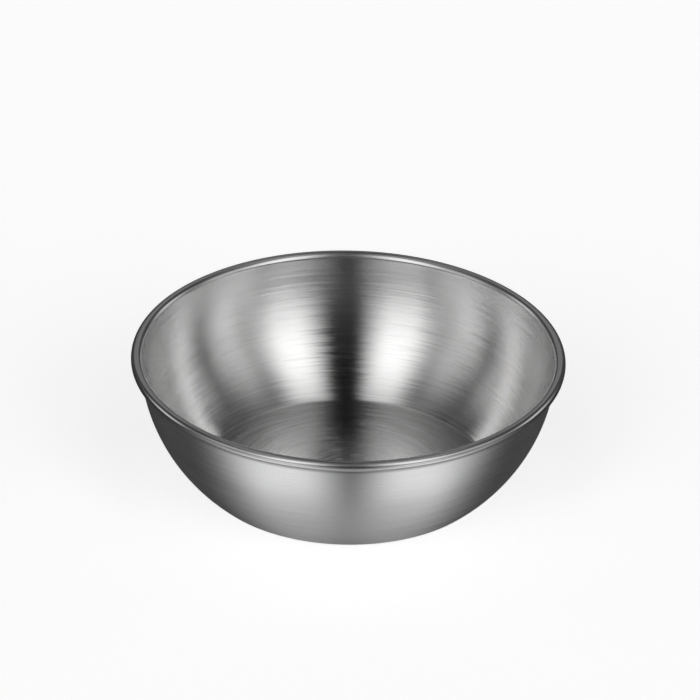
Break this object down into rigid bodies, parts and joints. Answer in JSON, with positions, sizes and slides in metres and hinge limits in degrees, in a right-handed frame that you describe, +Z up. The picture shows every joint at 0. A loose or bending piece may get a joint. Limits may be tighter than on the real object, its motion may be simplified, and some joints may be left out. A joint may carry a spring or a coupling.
{
  "type": "sauce dish",
  "caption": "Small round sauce dish pressed from stainless steel sheet, with a flat base, a curved wall and an edge rolled outwards into a bead. Holds sauce, dip or seasoning at the table.",
  "frame": {"origin": "middle of the underside of the flat base, which is the face that the dish stands on", "axes": "+Z up along the axis of the dish. It is round, so X and Y are any two horizontal directions at a right angle, and -Y points at the viewer of the picture"},
  "size_m": [0.08, 0.08, 0.025],
  "materials": {
    "steel": "spun and brushed in rings round the axis inside, satin outside, brighter on the rolled edge"
  },
  "bodies": {
    "root": {"dish": "steel"}
  },
  "joints": []
}
